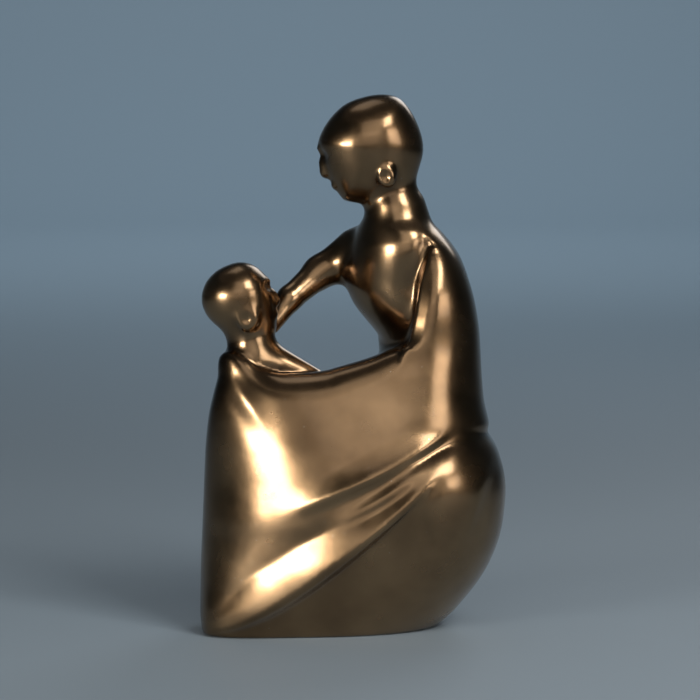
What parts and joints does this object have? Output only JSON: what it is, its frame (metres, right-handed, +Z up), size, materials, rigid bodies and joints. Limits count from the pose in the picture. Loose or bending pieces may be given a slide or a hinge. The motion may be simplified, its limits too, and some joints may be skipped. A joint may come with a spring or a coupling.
{
  "type": "statuette",
  "caption": "Smooth abstract cast statuette of a kneeling father holding a child wrapped in one shared cloak, flat underneath.",
  "frame": {"origin": "a point near the middle of the flat underside, on the plane it stands on", "axes": "+Z up from the underside to the father's crown; the father faces -X, towards the child, and the open side of the cloak with its folds faces -Y"},
  "size_m": [0.1141, 0.0819, 0.2],
  "materials": {
    "bronze": "satin"
  },
  "bodies": {
    "root": {"father_and_child": "bronze"}
  },
  "joints": []
}
